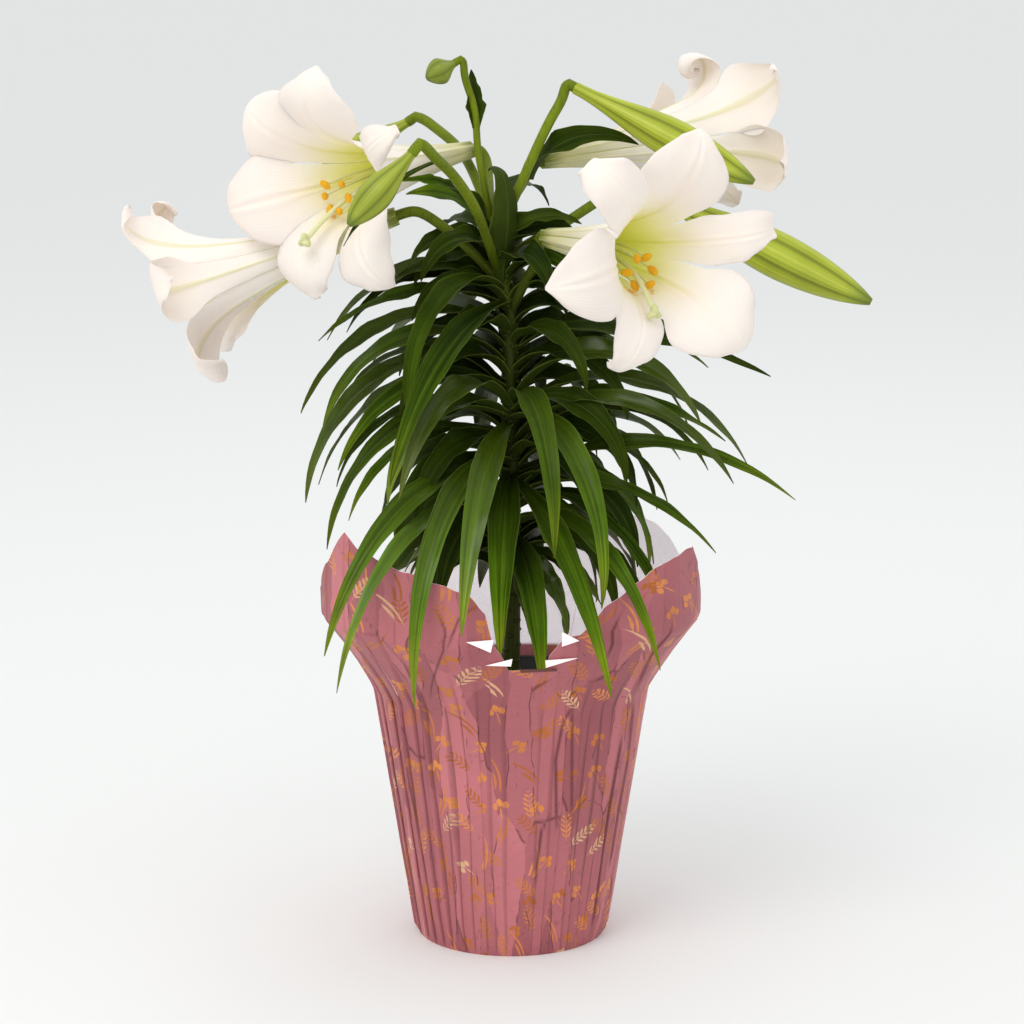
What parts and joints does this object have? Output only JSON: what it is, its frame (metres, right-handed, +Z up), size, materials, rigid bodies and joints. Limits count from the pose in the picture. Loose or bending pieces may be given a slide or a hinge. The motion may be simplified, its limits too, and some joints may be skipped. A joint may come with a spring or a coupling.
{
  "type": "potted easter lily",
  "caption": "Flowering bulb plant: white trumpet flowers and green buds on a leafy stem, in a nursery pot inside a pleated rose paper cover.",
  "frame": {"origin": "centre of the flat base that the paper cover stands on", "axes": "+Z up along the stem, -Y towards the front of the plant, +X to its right as seen from the front"},
  "size_m": [0.4554, 0.3317, 0.5486],
  "materials": {
    "rose_paper": "satin coated pleated paper",
    "black_plastic": "matte moulded",
    "potting_mix": "loose damp mix",
    "bulb_scales": "matt scales",
    "leaf_green": "waxy",
    "petal_white": "soft satin",
    "stamen_yellow": "matt",
    "bud_green": "satin"
  },
  "bodies": {
    "root": {"paper_cover": "rose_paper", "nursery_pot": "black_plastic", "potting_mix": "potting_mix", "bulb": "bulb_scales", "leafy_stem": "leaf_green", "flower_front_right": "petal_white", "stamens_front_right": "stamen_yellow", "flower_upper_left": "petal_white", "stamens_upper_left": "stamen_yellow", "flower_lower_left": "petal_white", "stamens_lower_left": "stamen_yellow", "flower_back_right": "petal_white", "stamens_back_right": "stamen_yellow", "bud_upper_right": "bud_green", "bud_right": "bud_green", "bud_left": "bud_green", "bud_top": "bud_green", "bud_upper_left": "bud_green"}
  },
  "joints": []
}
